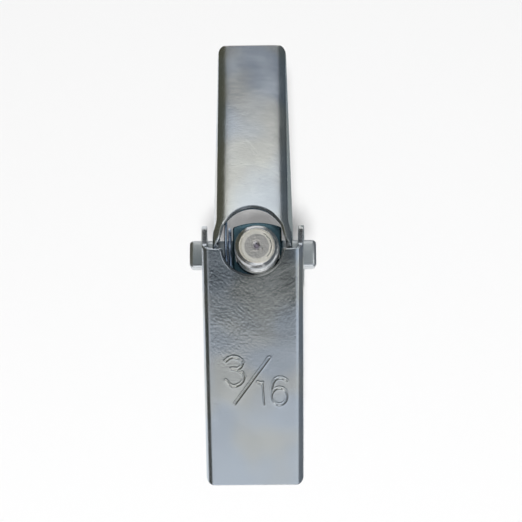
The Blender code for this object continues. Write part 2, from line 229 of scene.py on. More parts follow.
class Wing:
    """One wing's blank in flat coordinates (u across, v along) and how it folds."""

    def __init__(
        self, web_half, length, tilt, splay, tip_depth, tip_corner, turned,
        ear_offset=0.0, flare=(0, 1),
    ):
        self.web_half = web_half
        self.flat = web_half - BEND_RADIUS
        self.bend_end = self.flat + BEND_RADIUS * math.pi / 2
        self.length = length
        self.splay = splay
        self.tip_depth = tip_depth
        self.tip_corner = tip_corner
        self.ear_offset = ear_offset
        self.flare = flare
        turn = Matrix.Rotation(-tilt, 4, "X")
        if turned:
            turn = Matrix.Rotation(math.pi, 4, "Z") @ turn
        self.place = np.array(Matrix.Translation((WING_CENTRE, 0, HINGE_HEIGHT)) @ turn)

    def u_of_z(self, z):
        """How far across the flat blank the outer surface comes down to z."""
        depth = WEB_TOP - z
        if depth <= 0:
            return self.flat
        if depth < BEND_RADIUS:
            return self.flat + BEND_RADIUS * math.acos(1 - depth / BEND_RADIUS)
        return self.bend_end + depth - BEND_RADIUS

    def x_and_z(self, u):
        """Where the outer surface lies at u, before the flanges lean out."""
        a = np.abs(u)
        theta = np.clip((a - self.flat) / BEND_RADIUS, 0, math.pi / 2)
        run = np.maximum(0, a - self.bend_end)
        x = np.minimum(a, self.flat) + BEND_RADIUS * np.sin(theta)
        z = WEB_TOP - BEND_RADIUS + BEND_RADIUS * np.cos(theta) - run
        return x, z

    def lean(self, v, depth):
        """How far a flange stands out at a depth, by its splay or by its flared ear."""
        plain = depth * math.tan(self.splay)
        if not self.ear_offset:
            return plain
        at_ear = 1 - smooth_step(v, *self.flare)
        return (1 - at_ear) * plain + at_ear * self.ear_offset

    def fold(self, u, v, w):
        """Points in the object's frame, w under the outer surface."""
        a = np.abs(u)
        theta = np.clip((a - self.flat) / BEND_RADIUS, 0, math.pi / 2)
        run = np.maximum(0, a - self.bend_end)
        _, outer_z = self.x_and_z(u)
        lean = self.lean(v, WEB_TOP - outer_z) * np.minimum(1, a / self.flat)
        radius = BEND_RADIUS - w
        x = np.minimum(a, self.flat) + radius * np.sin(theta) + lean
        z = WEB_TOP - BEND_RADIUS + radius * np.cos(theta) - run
        points = np.stack([np.sign(u) * x, v, z, np.ones_like(x)], axis=1)
        return (points @ self.place.T)[:, :3]

    def crown(self, u, run, slope):
        """How far the web falls off before its bends, as the press leaves it."""
        a = np.abs(u) - self.flat
        t = np.clip(1 + a / run, 0, 1)
        s = np.clip(a / (self.bend_end - self.flat), 0, 1)
        top, steep = slope * run / 2, slope * (self.bend_end - self.flat)
        fading = top * (2 * s**3 - 3 * s**2 + 1) + steep * (s**3 - 2 * s**2 + s)
        return np.where(a < 0, top * t**2, fading)

    def tip_line(self):
        """The wing's end, from its middle to where the flange's lower edge begins."""
        toe_z = WEB_TOP - self.tip_depth
        last = self.u_of_z(toe_z)
        line = []
        for u in np.linspace(0, last, TIP_POINTS):
            x, z = (float(k) for k in self.x_and_z(np.array(u)))
            plan = self.length
            edge = self.web_half - self.tip_corner
            if x > edge:
                reach = self.tip_corner**2 - min(x - edge, self.tip_corner) ** 2
                plan = self.length - self.tip_corner + math.sqrt(max(0, reach))
            side = self.length
            if z < WEB_UNDERSIDE:
                share = min(1, (WEB_UNDERSIDE - z) / (WEB_UNDERSIDE - toe_z))
                side = self.length - FLANGE_TIP_RUN * (1 - math.sqrt(1 - share**2))
            line.append((u, min(plan, side)))
        return line

    def ear_line(self, heel_y, heel_z):
        """From the flange's lower edge round the ear to its heel."""
        toe = (self.length - FLANGE_TIP_RUN, WEB_TOP - self.tip_depth)
        low = math.atan2(toe[1], toe[0]) - math.acos(EAR_RADIUS / math.hypot(*toe))
        high = math.atan2(heel_z, heel_y) + math.acos(EAR_RADIUS / math.hypot(heel_y, heel_z))
        ear = arc(0, 0, EAR_RADIUS, low, high - 2 * math.pi, EAR_STEPS)
        last_y, last_z = ear[-1]
        heel = [
            (last_y + (heel_y - last_y) * k / HEEL_STEPS,
             last_z + (heel_z - last_z) * k / HEEL_STEPS)
            for k in range(1, HEEL_STEPS + 1)
        ]
        return [(self.u_of_z(z), y) for y, z in ear + heel]


def resampled(loop, step):
    """The closed loop with its points about one step apart."""
    loop = np.asarray(loop, float)
    closed = np.vstack([loop, loop[:1]])
    run = np.concatenate([[0], np.cumsum(np.hypot(*np.diff(closed, axis=0).T))])
    count = max(12, round(run[-1] / step))
    at = np.linspace(0, run[-1], count, endpoint=False)
    return np.stack([np.interp(at, run, closed[:, 0]), np.interp(at, run, closed[:, 1])], axis=1)


def rounded(loop, times):
    """The closed loop with its corners averaged out."""
    for _ in range(times):
        loop = (np.roll(loop, 1, 0) + 2 * loop + np.roll(loop, -1, 0)) / 4
    return loop


def outward(loop):
    """The unit normal at each point of a closed loop."""
    along = np.roll(loop, -1, 0) - np.roll(loop, 1, 0)
    along /= np.hypot(*along.T)[:, None]
    return np.stack([along[:, 1], -along[:, 0]], axis=1)


def inside(points, loop):
    """Whether each point lies in the closed loop."""
    a, b = loop, np.roll(loop, -1, 0)
    out = np.zeros(len(points), bool)
    for start in range(0, len(points), BATCH):
        p = points[start:start + BATCH]
        crosses = (a[:, 1] > p[:, 1:2]) != (b[:, 1] > p[:, 1:2])
        with np.errstate(divide="ignore", invalid="ignore"):
            at = (b[:, 0] - a[:, 0]) * (p[:, 1:2] - a[:, 1]) / (b[:, 1] - a[:, 1]) + a[:, 0]
        out[start:start + BATCH] = (crosses & (p[:, 0:1] < at)).sum(1) % 2 == 1
    return out


def distance_to(points, loops):
    """How far each point is from the nearest point of the loops."""
    every = np.vstack(loops)
    out = np.empty(len(points))
    for start in range(0, len(points), BATCH):
        p = points[start:start + BATCH]
        out[start:start + BATCH] = np.sqrt(((p[:, None] - every[None]) ** 2).sum(2)).min(1)
    return out


def filled(loops, grid, clear):
    """Points and triangles that fill the first loop, with the other loops as holes.

    The loops' own points come first. Grid points nearer than clear to a loop are left out.
    """
    grid = grid[inside(grid, loops[0])]
    for hole in loops[1:]:
        grid = grid[~inside(grid, hole)]
    grid = grid[distance_to(grid, loops) > clear]
    points = np.vstack([*loops, grid])
    edges, start = [], 0
    for loop in loops:
        count = len(loop)
        edges += [(start + i, start + (i + 1) % count) for i in range(count)]
        start += count
    flat_points = [Vector(p) for p in points]
    _, _, faces, origin, _, _ = delaunay_2d_cdt(flat_points, edges, [], 0, 1e-7)
    back = {}
    for new, olds in enumerate(origin):
        for old in olds:
            back[new] = old
    faces = np.array([[back[i] for i in f] for f in faces if all(i in back for i in f)])
    middle = points[faces].mean(1)
    keep = inside(middle, loops[0])
    for hole in loops[1:]:
        keep &= ~inside(middle, hole)
    faces = faces[keep]
    a, b, c = (points[faces[:, k]] for k in range(3))
    area = (b[:, 0] - a[:, 0]) * (c[:, 1] - a[:, 1]) - (b[:, 1] - a[:, 1]) * (c[:, 0] - a[:, 0])
    faces[area < 0] = faces[area < 0][:, ::-1]
    return points, faces


# Points of a notch's pressed lip, as shares of its width: out from its top edge, and down
CHAMFER = [(-0.90, 0.03), (-0.80, 0.10), (-0.72, 0.18), (-0.14, 0.86), (-0.06, 0.98), (0, 1.15)]
EDGE_WIDTH = 0.13
LIP_WIDENING = 0.12  # of the edge, at a notch
UNDER_EDGE = 0.06
FIRST_RING = 0.06  # from an edge to the first row of points inside it
RING_CLEAR = 0.05
BEND_COLUMNS = 8
COARSE_STEP = 0.4


def build_wing(name, wing, half_line, dense, relief, notch_reach):
    """Folds a blank whose half outline runs from the tip's middle to the notch's middle.

    Each box in dense gets a finer grid. relief says how deep the upper face is pressed at flat
    points. notch_reach is ((near, far), centre): the pressed lip fades between these distances
    from a point on the wing's middle line.
    """
    half = np.array(half_line, float)
    other = half[::-1] * (-1, 1)
    loop = np.vstack([half, other[1:-1]])
    twice_area = (np.roll(loop[:, 1], -1) * loop[:, 0] - np.roll(loop[:, 0], -1) * loop[:, 1]).sum()
    if twice_area < 0:
        loop = loop[::-1]
    loop = rounded(resampled(loop, OUTLINE_STEP), 6)
    ear_u = wing.u_of_z(0)
    holes = [
        np.array(arc(side * ear_u, 0, EAR_HOLE_RADIUS, 0, -2 * math.pi, 96)[:-1])
        for side in (1, -1)
    ]
    outlines = [loop, *holes]
    normals = [outward(x) for x in outlines]

    flat = np.linspace(-wing.flat, wing.flat, 23)
    bend_steps = np.arange(1, BEND_COLUMNS + 1) / BEND_COLUMNS
    bend = wing.flat + (wing.bend_end - wing.flat) * bend_steps
    flange = np.arange(wing.bend_end + 0.35, wing.bend_end + 9, COARSE_STEP)
    columns = np.concatenate([-flange[::-1], -bend[::-1], flat, bend, flange])
    rows = np.arange(-4, wing.length + COARSE_STEP, COARSE_STEP)
    coarse = np.array([(u, v) for v in rows for u in columns])
    fine = []
    for u0, u1, v0, v1, step in dense:
        u, v = coarse.T
        coarse = coarse[~((u > u0) & (u < u1) & (v > v0) & (v < v1))]
        us, vs = np.arange(u0, u1, step), np.arange(v0, v1, step)
        fine.append(np.array([(u, v) for v in vs for u in us]))
    grid = np.vstack([coarse, *fine])

    points, faces, total = [], [], 0

    def add(block, block_faces=()):
        """Takes in a block of points with its faces, and says where the block starts."""
        nonlocal total
        points.append(block)
        faces.extend([[total + i for i in face] for face in block_faces])
        total += len(block)
        return total - len(block)

    def notch_share(at):
        """1 at the notch, where the edge is a pressed lip, and 0 where it is rolled."""
        from_notch = np.hypot(at[:, 0], at[:, 1] - notch_reach[1])
        return (1 - smooth_step(from_notch, *notch_reach[0]))[:, None]

    edges = [EDGE_WIDTH + LIP_WIDENING * notch_share(x) for x in outlines]
    top_loops = [x - n * e for x, n, e in zip(outlines, normals, edges)]
    rings = [x - n * (e + FIRST_RING) for x, n, e in zip(outlines, normals, edges)]
    top, top_faces = filled(top_loops, np.vstack([grid, *rings]), RING_CLEAR)
    dip = relief(top)
    top_start = add(wing.fold(top[:, 0], top[:, 1], dip), top_faces.tolist())
    under_loops = [x - n * UNDER_EDGE for x, n in zip(outlines, normals)]
    under_rings = [x - n * (UNDER_EDGE + FIRST_RING) for x, n in zip(outlines, normals)]
    under, under_faces = filled(under_loops, np.vstack([coarse, *under_rings]), RING_CLEAR)
    sheet = np.full(len(under), SHEET)
    under_start = add(wing.fold(under[:, 0], under[:, 1], sheet), under_faces[:, ::-1].tolist())

    start = 0
    for outline, normal, edge in zip(outlines, normals, edges):
        count = len(outline)
        dips = dip[start:start + count]
        profile = []  # how far out, how deep, and how much of the relief is kept
        share = notch_share(outline)
        for k, (chamfer_out, chamfer_down) in enumerate(CHAMFER, 1):
            a = math.pi / 2 * k / len(CHAMFER)
            out = edge * (share * chamfer_out + (1 - share) * (math.sin(a) - 1))
            down = edge * (share * chamfer_down + (1 - share) * (1 - math.cos(a)))
            profile.append((out, down[:, 0], 1 - k / len(CHAMFER)))
        flat_edge = np.zeros(count)
        profile += [
            (0, flat_edge + SHEET - UNDER_EDGE, 0),
            (-UNDER_EDGE * 0.3, flat_edge + SHEET - UNDER_EDGE * 0.3, 0),
        ]
        ring_starts = [top_start + start]
        for out, deep, kept in profile:
            at = outline + normal * out
            ring_starts.append(add(wing.fold(at[:, 0], at[:, 1], deep + dips * kept)))
        ring_starts.append(under_start + start)
        for near, far in zip(ring_starts, ring_starts[1:]):
            for i in range(count):
                j = (i + 1) % count
                faces.append([near + i, far + i, far + j, near + j])
        start += count
    mesh = mesh_from(name, np.vstack(points), faces)
    smooth(mesh, 50)
    return new_object(name, mesh)


def stroke_depth(points, strokes, width, depth, lip):
    """A pressed groove along each stroke, with a soft raised lip at both sides."""
    near = np.full(len(points), 1e9)
    for stroke in strokes:
        line = np.array(stroke, float)
        for a, b in zip(line, line[1:]):
            d = b - a
            t = np.clip(((points - a) @ d) / (d @ d), 0, 1)
            near = np.minimum(near, np.hypot(*(points - a - t[:, None] * d).T))
    groove = depth * np.exp(-((near / (width / 2)) ** 2) * 1.2)
    return groove - lip * np.exp(-(((near - width) / (width * 0.5)) ** 2))


def numerals(centre_u, centre_v):
    """The strokes of 3/16 in the outer wing's flat coordinates.

    They are listed with x to the right and y up, as read.
    """
    three = [
        (-3.21, 2.07), (-2.83, 2.38), (-2.44, 2.51), (-1.96, 2.42), (-1.56, 2.13),
        (-1.42, 1.78), (-1.57, 1.42), (-1.95, 1.16), (-2.59, 1.21), (-1.95, 1.07),
        (-1.49, 0.73), (-1.26, 0.26), (-1.39, -0.16), (-1.72, -0.51), (-2.15, -0.72),
        (-2.56, -0.75), (-2.91, -0.52), (-3.25, -0.10),
    ]
    slash = [(1.40, 2.39), (-2.30, -2.71)]
    one = [(0.16, -0.34), (0.41, -0.47), (0.65, -0.41), (0.80, -2.77)]
    six_top = [
        (3.22, -0.16), (3.03, 0.02), (2.76, 0.14), (2.36, 0.17),
        (2.02, -0.02), (1.80, -0.41), (1.68, -0.94), (1.63, -1.90),
    ]
    turn = np.linspace(math.pi, -math.pi, 33)
    ring = [(2.46 + 0.82 * math.cos(a), -1.90 + 0.94 * math.sin(a)) for a in turn]
    strokes = (three, slash, one, six_top, ring)
    return [[(centre_u - x, centre_v - y) for x, y in stroke] for stroke in strokes]


def faded_past_bend(dip, wing, u):
    """The relief, faded out over the flanges, which stay plain further down."""
    fade_width = 2
    return dip * np.clip((wing.bend_end + fade_width - np.abs(u)) / fade_width, 0, 1)


def outer_wing():
    wing = Wing(
        web_half=5.285, length=24.75, tilt=OUTER_TILT, splay=math.radians(3), tip_depth=2.0,
        tip_corner=0.7, turned=True,
    )
    line = wing.tip_line() + wing.ear_line(OUTER_WEB_START, WEB_TOP)
    notch_half = THREAD_RADIUS - WING_CENTRE + OUTER_NOTCH_GAP
    back = [(u, OUTER_WEB_START) for u in np.linspace(wing.flat, notch_half, 14)]
    quarter = arc(0, 0, 1, 0, math.pi / 2, 40)
    notch = [(notch_half * x, OUTER_NOTCH_DEPTH * y + OUTER_WEB_START) for x, y in quarter]
    strokes = numerals(-0.25, 12.7)
    # Boxes of finer grid: from u to u, from v to v, and the step
    number_box = (-3.8, 3.3, 9.9, 15.8, 0.036)
    grain_box = (-wing.flat, wing.flat, -1.6, 9.9, 0.08)
    pits = ((0.08, 20.42, 0.10), (-0.87, 21.69, 0.13), (-2.6, 22.3, 0.08))

    def relief(p):
        """Slow waves, grain and slanting ripples near the hinge, pits, the numerals, the crown."""
        u, v = p.T
        dip = 0.008 * fractal(p, 4.5, 2, 3.1)
        near_hinge = 1 - smooth_step(v, 3.5, 11)
        left = smooth_step(u, -1.6, 1.2)
        far_left = 1 - smooth_step(v, 9, 17)
        dip += (0.002 * near_hinge + 0.0035 * left * far_left) * fractal(p, 0.24, 1, 4.4)
        slant = np.stack([u + v, (v - u) * 2.4], axis=1)
        dip += near_hinge * (1 - left) * 0.0042 * fractal(slant, 0.62, 1, 8.2)
        dip += 0.0012 * fractal(p, 0.9, 2, 5.5)
        for pit_u, pit_v, size in pits:
            dip += 0.03 * np.exp(-((u - pit_u) ** 2 + (v - pit_v) ** 2) / size**2)
        box = (u > -4.2) & (u < 3.6) & (v > 9.8) & (v < 16.1)
        dip[box] += stroke_depth(p[box], strokes, width=0.16, depth=0.072, lip=0.014)
        return faded_past_bend(dip, wing, u) + wing.crown(u, run=0.6, slope=0.06)

    half_line = line + back + notch[1:]
    notch_reach = ((3.2, 3.6), OUTER_WEB_START)
    obj = build_wing(
        "outer_wing_pressing", wing, half_line, [number_box, grain_box], relief, notch_reach
    )
    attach(obj, "outer_wing")
    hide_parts("outer_wing")
    return obj


def inner_wing():
    wing = Wing(
        web_half=3.745, length=23.8, tilt=INNER_TILT, splay=math.radians(6), tip_depth=1.7,
        tip_corner=0.5, turned=False, ear_offset=0.44, flare=(0.81, 2.97),
    )
    heel_y, heel_z = -HEEL_RADIUS * math.sin(HEEL_ANGLE), HEEL_RADIUS * math.cos(HEEL_ANGLE)
    line = wing.tip_line() + wing.ear_line(heel_y, heel_z)
    notch_half = 2.83
    reach = math.asin(notch_half / INNER_NOTCH_RADIUS)
    up = math.pi / 2
    notch = arc(0, INNER_NOTCH_CENTRE, INNER_NOTCH_RADIUS, up - reach, up, 30)
    tongue = [(3.62, -0.3), (3.25, 0.15), (2.93, 0.55), (2.81, 0.95), (2.81, 1.5)]
    scratches = [
        [(-0.32, 14.5), (-0.54, 13.2)],
        [(-0.65, 11.8), (0.0, 10.3), (0.4, 9.6)],
        [(-0.3, 11.4), (0.5, 10.2)],
        [(-0.7, 8.7), (0.3, 8.8), (1.9, 8.2)],
        [(2.3, 7.9), (2.8, 7.6)],
        [(-2.2, 8.2), (-1.0, 7.2)],
    ]
    grain_box = (-wing.flat, wing.flat, 0.6, 23.6, 0.14)

    def relief(p):
        """Slow waves and grain, finer grain near the tip, scratches and the crown."""
        u, v = p.T
        dip = 0.006 * fractal(p, 3.8, 2, 1.7) + 0.0018 * fractal(p, 0.5, 2, 9.5)
        near_tip = smooth_step(v, 13, 19)
        dip += near_tip * 0.0025 * fractal(np.stack([u * 0.8, v * 1.6], axis=1), 0.5, 2, 2.6)
        dip += stroke_depth(p, scratches, width=0.13, depth=0.0035, lip=0.001)
        return faded_past_bend(dip, wing, u) + wing.crown(u, run=1.1, slope=0.16)

    half_line = line + tongue + notch
    notch_reach = ((3.3, 3.7), INNER_NOTCH_CENTRE)
    obj = build_wing("inner_wing_pressing", wing, half_line, [grain_box], relief, notch_reach)
    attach(obj, "inner_wing")
    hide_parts("inner_wing")
    return obj


# Bolt

CONE_TOP = HEAD_RIM + (HEAD_RADIUS - THREAD_RADIUS) / math.tan(HEAD_HALF_ANGLE)
TIP_SPECKS = ((-0.25, -0.08), (0.08, -0.36), (0.47, -0.30), (0.20, 0.05))


def thread_depth(phase):
    """0 at the crest and 1 at the root; phase is in turns, 0 at a crest."""
    t = np.abs((phase + 0.5) % 1 - 0.5)
    return smooth_step(t, 0.03, 0.46) * 0.45 + np.clip((t - 0.07) / 0.33, 0, 1) * 0.55


def bolt_shank():
    """The thread from the head's cone to the ragged tip, and the tip's rough face."""
    columns, face_rings = 128, 56
    coarse_steps, fine_steps = 11, 26  # rows in one turn of thread
    fine_from = 46
    tip_edge = BOLT_LENGTH - 0.12
    coarse = np.arange(CONE_TOP - 0.05, fine_from, THREAD_PITCH / coarse_steps)
    fine = np.arange(fine_from, BOLT_LENGTH - 0.02, THREAD_PITCH / fine_steps)
    zs = np.concatenate([coarse, fine, [BOLT_LENGTH]])
    angles = np.linspace(0, 2 * math.pi, columns, endpoint=False)
    z, a = np.meshgrid(zs, angles, indexing="ij")

    phase = (z - BOLT_LENGTH) / THREAD_PITCH - a / (2 * math.pi) + 0.30
    fade = smooth_step(z, CONE_TOP + 0.1, CONE_TOP + 1.3)
    radius = THREAD_RADIUS - THREAD_DEPTH * thread_depth(phase) * fade
    taper = TIP_RADIUS + 0.03 + (BOLT_LENGTH - z) * 0.58
    radius = np.minimum(radius, taper)

    rough_from = BOLT_LENGTH - 2.4
    rough = np.zeros(z.shape)
    near_tip = z > rough_from
    tip_a, tip_z = a[near_tip], z[near_tip]
    around = np.stack([np.cos(tip_a) * 2 + 5, np.sin(tip_a) * 2 + tip_z], axis=1)
    rough[near_tip] = fractal(around, 0.35, 3, 2.0)
    radius += rough * 0.022 * smooth_step(z, rough_from, BOLT_LENGTH - 0.2)

    x, y = radius * np.cos(a), radius * np.sin(a)
    points = [np.stack([x.ravel(), y.ravel(), z.ravel()], axis=1)]
    faces = []

    def band(low, high):
        """Faces between two rings of points."""
        for j in range(columns):
            k = (j + 1) % columns
            faces.append([low + j, low + k, high + k, high + j])

    count = len(zs)
    for i in range(count - 1):
        band(i * columns, (i + 1) * columns)

    total = count * columns
    last = (count - 1) * columns
    edge_radius = radius[-1]
    circle = np.stack([np.cos(angles) * 3, np.sin(angles) * 3], axis=1)
    ragged = fractal(circle, 0.5, 3, 7.7)
    start_of_thread = smooth_step(np.cos(angles - math.radians(8)), 0.42, 0.62)
    for k in range(1, face_rings):
        share = 1 - k / face_rings
        ring_r = edge_radius * share
        px, py = ring_r * np.cos(angles), ring_r * np.sin(angles)
        at = np.stack([px, py], axis=1)
        swept = np.stack([np.cos(angles) * 3 + ring_r, np.sin(angles) * 3], axis=1)
        streaks = fractal(swept, 0.3, 2, 3.3)
        lift = 0.010 * fractal(at, 0.16, 3, 6.3) + 0.012 * fractal(at, 0.5, 2, 1.3)
        lift = lift + 0.014 * streaks * share
        out = np.hypot(px + 0.06, py - 0.2)
        dimple = 0.035 * np.exp(-(((out - 0.34) / 0.11) ** 2)) - 0.12 * np.exp(-((out / 0.24) ** 2))
        for su, sv in TIP_SPECKS:
            dimple -= 0.10 * np.exp(-(((px - su) ** 2 + (py - sv) ** 2) / 0.085**2))
        crack = np.exp(-(((ring_r - 1.47 - 0.09 * ragged) / 0.055) ** 2)) * start_of_thread
        rim = -0.10 * smooth_step(share, 0.86, 1.0) ** 1.5
        pz = BOLT_LENGTH - 0.04 + lift + dimple + rim - 0.16 * crack
        points.append(np.stack([px, py, pz], axis=1))
        band(last, total)
        last = total
        total += columns
    points.append(np.array([[0, 0, BOLT_LENGTH - 0.08]]))
    faces += [[last + j, last + (j + 1) % columns, total] for j in range(columns)]

    every = np.vstack(points)
    every[(count - 1) * columns:count * columns, 2] = tip_edge
    every[:, 2] = np.minimum(every[:, 2], BOLT_LENGTH)
    return new_object("bolt_shank", mesh_from("bolt_shank", every, faces))


def bolt_head():
    """The countersunk head, with a rounded lower edge and its slot."""
    profile = [
        (0, CONE_TOP + 0.1),
        (THREAD_RADIUS - 0.08, CONE_TOP + 0.1),
        (THREAD_RADIUS + 0.02, CONE_TOP + 0.02),
    ]
    cone_steps = 8
    for k in range(1, cone_steps + 1):
        s = k / cone_steps
        across = THREAD_RADIUS + (HEAD_RADIUS - 0.02 - THREAD_RADIUS) * s
        profile.append((across, CONE_TOP + (HEAD_RIM + 0.03 - CONE_TOP) * s))
    profile += [
        (HEAD_RADIUS, HEAD_RIM - 0.02),
        (HEAD_RADIUS, 0.1),
        (HEAD_RADIUS - 0.03, 0.03),
        (HEAD_RADIUS - 0.1, 0),
        (0, 0),
    ]
    mesh = bpy.data.meshes.new("bolt_head")
    lines = [(i, i + 1) for i in range(len(profile) - 1)]
    mesh.from_pydata([(r * MM, 0, h * MM) for r, h in profile], lines, [])
    head = new_object("bolt_head", mesh)
    turn = head.modifiers.new("Turn", "SCREW")
    turn.steps = turn.render_steps = 96
    turn.use_merge_vertices = True
    turn.merge_threshold = 1e-6
    work = bmesh.new()
    slot = Matrix.Diagonal((SLOT_WIDTH * MM, 12 * MM, 2 * SLOT_DEPTH * MM, 1))
    bmesh.ops.create_cube(work, size=1, matrix=slot)
    cutter = object_from("slot", work)
    boolean(head, cutter, "DIFFERENCE")
    applied(head)
    bpy.data.objects.remove(cutter)
    return head


def bolt():
    obj = joined("threaded_bolt", [bolt_shank(), bolt_head()])
    smooth(obj.data, 38)
    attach(obj, "bolt")
    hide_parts("bolt")
    return obj


# Trunnion nut


def nut():
    half_height = WEB_UNDERSIDE - WEB_GAP
    centre = half_height - BOSS_BULGE_RADIUS
    reach = math.asin(BOSS_HALF_WIDTH / BOSS_BULGE_RADIUS)
    up = math.pi / 2
    outline = arc(0, centre, BOSS_BULGE_RADIUS, up - reach, up + reach, 32)
    outline += arc(0, -centre, BOSS_BULGE_RADIUS, -up - reach, -up + reach, 32)
    bottom = HINGE_HEIGHT - BOSS_THICKNESS / 2
    work = bmesh.new()
    corners = [work.verts.new((x * MM, y * MM, bottom * MM)) for x, y in outline]
    made = bmesh.ops.extrude_face_region(work, geom=[work.faces.new(corners)])
    raised = [g for g in made["geom"] if isinstance(g, bmesh.types.BMVert)]
    bmesh.ops.translate(work, vec=(0, 0, BOSS_THICKNESS * MM), verts=raised)
    bmesh.ops.recalc_face_normals(work, faces=work.faces)
    boss = object_from("boss", work)
    edge = boss.modifiers.new("Edge", "BEVEL")
    edge.width = BOSS_EDGE * MM
    edge.segments = 4
    edge.limit_method = "ANGLE"

    work = bmesh.new()
    size = Matrix.Diagonal((2 * ARM_HALF_LENGTH * MM, ARM_WIDTH * MM, ARM_THICKNESS * MM, 1))
    place = Matrix.Translation((WING_CENTRE * MM, 0, HINGE_HEIGHT * MM))
    bmesh.ops.create_cube(work, size=1, matrix=place @ size)
    arms = object_from("arms", work)
    edge = arms.modifiers.new("Edge", "BEVEL")
    edge.width = ARM_EDGE * MM
    edge.segments = 6
    boolean(boss, arms, "UNION")

    work = bmesh.new()
    bore = (THREAD_RADIUS + BORE_CLEARANCE) * MM
    bmesh.ops.create_cone(
        work, cap_ends=True, segments=128, radius1=bore, radius2=bore, depth=6 * MM,
        matrix=Matrix.Translation((0, 0, HINGE_HEIGHT * MM)),
    )
    hole = object_from("bore", work)
    boolean(boss, hole, "DIFFERENCE")
    applied(boss)
    bpy.data.objects.remove(arms)
    bpy.data.objects.remove(hole)
    boss.name = "forged_trunnion_nut"
    smooth(boss.data, 30)
    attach(boss, "nut")
    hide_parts("trunnion_nut")
    return boss


# Spring


def tube(name, path, radius):
    """A round wire along a path, with domed ends."""
    sides = 14
    dome = [(0.35, -0.9), (0.8, -0.5)]  # shares of the radius: a ring's size, and its place
    path = np.asarray(path, float)
    along = np.gradient(path, axis=0)
    along /= np.linalg.norm(along, axis=1)[:, None]
    up = np.array([1.0, 0, 0])
    side = np.cross(along, up)
    side /= np.linalg.norm(side, axis=1)[:, None]
    other = np.cross(side, along)
    turn = np.linspace(0, 2 * math.pi, sides, endpoint=False)

    def ring(k, size):
        return size * (np.cos(turn)[:, None] * side[k] + np.sin(turn)[:, None] * other[k])

    rings = [path[0] + along[0] * step * radius + ring(0, share * radius) for share, step in dome]
    rings += [path[k] + ring(k, radius) for k in range(len(path))]
    rings += [
        path[-1] - along[-1] * step * radius + ring(-1, share * radius)
        for share, step in dome[::-1]
    ]
    points = np.vstack(rings)
    faces = []
    for i in range(len(rings) - 1):
        low, high = i * sides, (i + 1) * sides
        for j in range(sides):
            k = (j + 1) % sides
            faces.append([low + j, low + k, high + k, high + j])
    faces += [list(range(sides)), [(len(rings) - 1) * sides + j for j in range(sides)]]
    mesh = mesh_from(name, points, faces)
    smooth(mesh, 40)
    return new_object(name, mesh)


def spring():
    """A leg that goes rigidly with each wing, and each half of the coil, fixed where it is made."""
    tilts = {-1: OUTER_TILT, 1: INNER_TILT}
    wire_radius = WIRE_DIAMETER / 2
    leg_points, half_points = 16, 110

    def leg_end(side):
        """A leg's free end, and the angle at which the leg leaves the coil."""
        height = WEB_UNDERSIDE - WEB_GAP - wire_radius
        tilt = tilts[side]
        y = side * (LEG_LENGTH * math.cos(tilt) + height * math.sin(tilt))
        z = height * math.cos(tilt) - LEG_LENGTH * math.sin(tilt)
        return (y, z), math.atan2(z, y) + side * math.acos(COIL_RADIUS / math.hypot(y, z))

    outer_end, outer_leave = leg_end(-1)
    inner_end, inner_leave = leg_end(1)
    # outer_leave comes out a turn low, so this is 1.08 turns, as in the solid
    turning = 4 * math.pi + outer_leave - inner_leave
    first = -(BOSS_HALF_WIDTH + COIL_GAP + wire_radius)
    width = COIL_PITCH * turning / (2 * math.pi)

    def coil_point(share):
        angle = outer_leave - turning * share
        y, z = COIL_RADIUS * math.cos(angle), HINGE_HEIGHT + COIL_RADIUS * math.sin(angle)
        return (first - width * share, y, z)

    def leg_path(x, end, start):
        begin = np.array((x, end[0], HINGE_HEIGHT + end[1]))
        return [begin + (np.array(start) - begin) * k / leg_points for k in range(leg_points)]

    made = []
    for name, body, end_at, x, shares in (
        ("spring_outer", "outer_wing", outer_end, first, (0, 0.5)),
        ("spring_inner", "inner_wing", inner_end, first - width, (1, 0.5)),
    ):
        coil_path = [coil_point(s) for s in np.linspace(*shares, half_points)]
        leg = tube(name + "_leg", leg_path(x, end_at, coil_path[0]) + coil_path[:2], wire_radius)
        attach(leg, body)
        half = tube(name + "_half", coil_path, wire_radius)
        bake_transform(half)
        for obj in (leg, half):
            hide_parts("spring")
            made.append(obj)
    return made


# Materials


DRIFT_SCALE = 160
SPECK_SCALE = 4200
CLOUD_SCALE = 300
PIT_SCALE = 1300
PIT_DEPTH = 0.006


